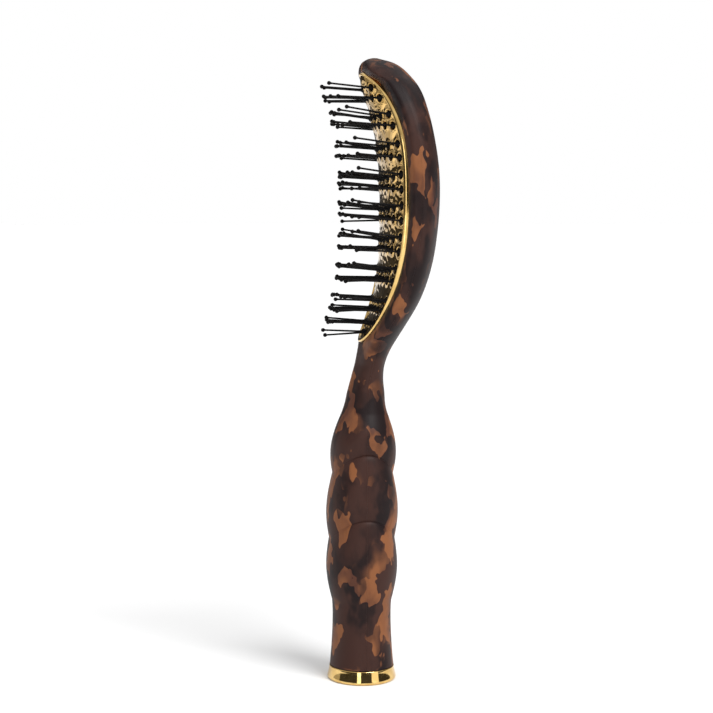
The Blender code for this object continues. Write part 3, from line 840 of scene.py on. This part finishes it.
def add_pin(bm, root, direction, length):
    side = direction.cross(Vector((0, 1, 0))).normalized()
    other = direction.cross(side)
    rings = []
    for along, radius in pin_profile(length):
        ring = []
        for i in range(PIN_SIDES):
            angle = 2 * math.pi * i / PIN_SIDES
            offset = side * math.cos(angle) + other * math.sin(angle)
            ring.append(root + direction * along + offset * radius)
        rings.append(ring)
    add_skin(bm, rings)


def add_bar(bm, strip):
    """The strip's bar behind the plate, with rounded edges. It is lower where the plate narrows."""
    middle = strip_middle(strip)
    edge = max(abs(y) for member in (1, -1) for y, _ in pin_places(strip, member)) - BAR_END_INSET
    margin = END_BAR_MARGIN if strip in (0, STRIPS - 1) else BAR_MARGIN
    # (upper or lower side, depth, pull towards the middle) of each corner.
    corners = (
        (1, 0.0, STRIP_ROUNDING), (1, STRIP_ROUNDING, 0.0), (1, STRIP_THICKNESS, 0.0),
        (-1, STRIP_THICKNESS, 0.0), (-1, STRIP_ROUNDING, 0.0), (-1, 0.0, STRIP_ROUNDING),
    )
    rings = []
    for i in range(BAR_STATIONS):
        y = edge * (2 * i / (BAR_STATIONS - 1) - 1)
        ring = []
        for side, depth, pull in corners:
            reach = STRIP_HALF_HEIGHT
            while (
                plate_half_width(middle + side * reach) - margin < abs(y)
                and reach > STRIP_LEAST_REACH
            ):
                reach -= STRIP_REACH_STEP
            z = middle + side * (reach - pull)
            ring.append((dome_x(y, z) + STRIP_DEPTH + depth, y, z))
        rings.append(ring)
    add_skin(bm, rings)


def make_strips(material):
    """Each strip is its bar and two rows of pins, every pin leaning a little its own way."""
    draw = random.Random(7)
    for strip in range(STRIPS):
        bm = bmesh.new()
        add_bar(bm, strip)
        for member in (1, -1):
            for y, z in pin_places(strip, member):
                slope = strip_slope(strip, member) + draw.uniform(-PIN_WANDER, PIN_WANDER)
                aside = draw.uniform(-SIDE_WANDER, SIDE_WANDER)
                direction = Vector((-1, aside, slope)).normalized()
                root = Vector((dome_x(y, z), y, z)) - direction * ROOT_DEPTH
                length = PIN_LENGTH + ROOT_DEPTH + draw.uniform(*LENGTH_WANDER)
                add_pin(bm, root, direction, length)
        name = f"bristle_strip_{strip + 1}"
        piece = mesh_object(name + "_pins", bm, 50)
        finish_piece(piece, f"strip_{strip + 1}", material, name)


# ---------------------------------------------------------------- base cap


def quarter_turns(steps):
    """(sine, cosine) of even steps from 0 to 90 degrees."""
    angles = [math.pi / 2 * i / steps for i in range(steps + 1)]
    return [(math.sin(angle), math.cos(angle)) for angle in angles]


def cap_profile():
    """(radius, z) from the inner floor over the ledge, the flared wall and the foot to the axis."""
    inner = CAP_FOOT_RADIUS - CAP_WALL
    floor = CAP_HEIGHT - CAP_FLOOR_DEPTH
    ledge = CAP_TOP_RADIUS - CAP_TOP_ROUNDING
    profile = [(AXIS_RADIUS, floor), (inner, floor), (inner, CAP_HEIGHT - CAP_INNER_CHAMFER)]
    profile += [(inner + CAP_INNER_CHAMFER, CAP_HEIGHT), (ledge, CAP_HEIGHT)]
    for sine, cosine in quarter_turns(3):
        radius = ledge + CAP_TOP_ROUNDING * sine
        profile.append((radius, CAP_HEIGHT - CAP_TOP_ROUNDING + CAP_TOP_ROUNDING * cosine))
    for i in range(1, CAP_FLARE_LINES):
        t = i / CAP_FLARE_LINES
        radius = CAP_TOP_RADIUS + (CAP_FOOT_RADIUS - CAP_TOP_RADIUS) * t**CAP_FLARE_POWER
        profile.append((radius, CAP_HEIGHT - CAP_TOP_ROUNDING - CAP_FLARE_DROP * t))
    for sine, cosine in quarter_turns(6):
        radius = CAP_FOOT_RADIUS - CAP_FOOT_ROUNDING + CAP_FOOT_ROUNDING * cosine
        profile.append((radius, CAP_FOOT_ROUNDING - CAP_FOOT_ROUNDING * sine))
    return profile + [(PAD_RADIUS, 0.0), (PAD_RADIUS, PAD_DEPTH), (AXIS_RADIUS, PAD_DEPTH)]


def make_cap(material):
    """Turned cap, as oval as the handle."""
    angles = [2 * math.pi * i / CAP_SIDES for i in range(CAP_SIDES)]
    rings = []
    for radius, z in cap_profile():
        wide = radius * WIDE
        rings.append([Vector((radius * math.cos(a), wide * math.sin(a), z)) for a in angles])
    cap = loft("base_cap_skin", rings, sharp=40)
    finish_piece(cap, "body", material, "base_cap")


def dress_cad_nodes(materials):
    """The hidden pieces keep their solids and get their own materials."""
    for name, material in materials.items():
        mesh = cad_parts[name].data
        mesh.materials.clear()
        mesh.materials.append(material)


# ---------------------------------------------------------------- stage


def make_stage():
    """A wide pale floor, a little uneven in tone."""
    n = Nodes("studio_floor")
    place = n.add("ShaderNodeTexCoord").outputs["Object"]
    cloud = n.add("ShaderNodeTexNoise", Vector=place, Scale=3.0, Detail=1.0).outputs["Fac"]
    dark, light = FLOOR_TONES
    color = n.ramp(cloud, ((0.2, dark), (0.8, light)))
    n.set(Base_Color=color, Roughness=0.9, Specular_IOR_Level=0.1)
    bm = bmesh.new()
    corners = ((-1, -1), (1, -1), (1, 1), (-1, 1))
    bm.faces.new([bm.verts.new((x * FLOOR_REACH, y * FLOOR_REACH, FLOOR_Z)) for x, y in corners])
    floor = mesh_object("studio_floor", bm, None)
    floor.data.materials.append(n.material)


def add_light(light, direction, place=(0.0, 0.0, 0.0)):
    lamp = bpy.data.objects.new(light.name, light)
    bpy.context.scene.collection.objects.link(lamp)
    lamp.location = place
    lamp.rotation_euler = Vector(direction).to_track_quat("-Z", "Y").to_euler()


def make_lights():
    """A soft key from the front right, and panels that the gold mirrors."""
    key = bpy.data.lights.new("key", "SUN")
    key.energy = KEY_STRENGTH
    key.angle = math.radians(KEY_SPREAD)
    add_light(key, KEY_DIRECTION)
    for name, place, width, height, watts in PANELS:
        panel = bpy.data.lights.new(name, "AREA")
        panel.energy = watts
        panel.shape = "RECTANGLE"
        panel.size = width
        panel.size_y = height
        add_light(panel, Vector(PANEL_TARGET) - Vector(place), place)


def make_room():
    """Dim walls under a bright ceiling. The camera sees plain white instead."""
    world = bpy.data.worlds.new("studio")
    bpy.context.scene.world = world
    world.use_nodes = True
    tree = world.node_tree
    room = tree.nodes["Background"]
    direction = tree.nodes.new("ShaderNodeTexCoord")
    split = tree.nodes.new("ShaderNodeSeparateXYZ")
    tree.links.new(direction.outputs["Generated"], split.inputs[0])
    ramp = tree.nodes.new("ShaderNodeValToRGB")
    wall, ceiling = ramp.color_ramp.elements
    wall.position, ceiling.position = WALL_TOP, CEILING_START
    wall.color = (*WALL_GLOW, 1.0)
    ceiling.color = (1.0, 1.0, 1.0, 1.0)
    tree.links.new(split.outputs["Z"], ramp.inputs["Fac"])
    tree.links.new(ramp.outputs["Color"], room.inputs["Color"])
    room.inputs["Strength"].default_value = CEILING_GLOW
    white = tree.nodes.new("ShaderNodeBackground")
    white.inputs["Color"].default_value = (1.0, 1.0, 1.0, 1.0)
    seen = tree.nodes.new("ShaderNodeLightPath")
    either = tree.nodes.new("ShaderNodeMixShader")
    tree.links.new(seen.outputs["Is Camera Ray"], either.inputs[0])
    tree.links.new(room.outputs[0], either.inputs[1])
    tree.links.new(white.outputs[0], either.inputs[2])
    tree.links.new(either.outputs[0], tree.nodes["World Output"].inputs["Surface"])


def make_camera():
    """The photograph's viewpoint: from the side, a little round to the bristles and looking down."""
    heading = math.radians(8.0)
    pitch = math.radians(4.5)
    distance, height, aside = 0.700, 0.181, 0.00196
    ahead = Vector((math.sin(heading), math.cos(heading), 0.0))
    right = Vector((math.cos(heading), -math.sin(heading), 0.0))
    data = bpy.data.cameras.new("camera")
    data.sensor_width = 36.0
    data.lens = 91.6
    data.clip_start = 0.01
    camera = bpy.data.objects.new("camera", data)
    bpy.context.scene.collection.objects.link(camera)
    camera.location = -ahead * distance - right * aside + Vector((0, 0, height))
    camera.rotation_euler = Euler((math.pi / 2 - pitch, 0.0, -heading))
    bpy.context.scene.camera = camera


def main():
    gold = gold_material("gold_plating", 0.07, 0.000005, GOLD_TONES)
    # Its darker tones are painted reflection of the dark pins and holes on the plate.
    rippled_gold_painted_dark = gold_material("rippled_gold_with_painted_reflection", 0.06, 0.00006, RIPPLED_GOLD_PAINTED_REFLECTION_TONES)
    rubber = grey_material("black_rubber", 0.02, 0.01, roughness=0.7, metallic=0.0, scale=800.0)
    plastic = grey_material("black_plastic", 0.03, 0.015, roughness=0.5, metallic=0.0, scale=600.0)
    steel = grey_material("plain_steel", 0.6, 0.45, roughness=0.35, metallic=1.0, scale=500.0)
    make_camera()
    make_stage()
    make_room()
    make_lights()
    make_shells(tortoiseshell_material())
    make_plate(rippled_gold_painted_dark, gold)
    make_strips(nylon_material())
    make_cap(gold)
    dress_cad_nodes({
        "rubber_pad": rubber, "foot_pad": rubber, "stem_plug": plastic,
        "balance_weight": steel, "plug_screw": steel,
    })
    bpy.context.scene.view_settings.view_transform = "Standard"


main()
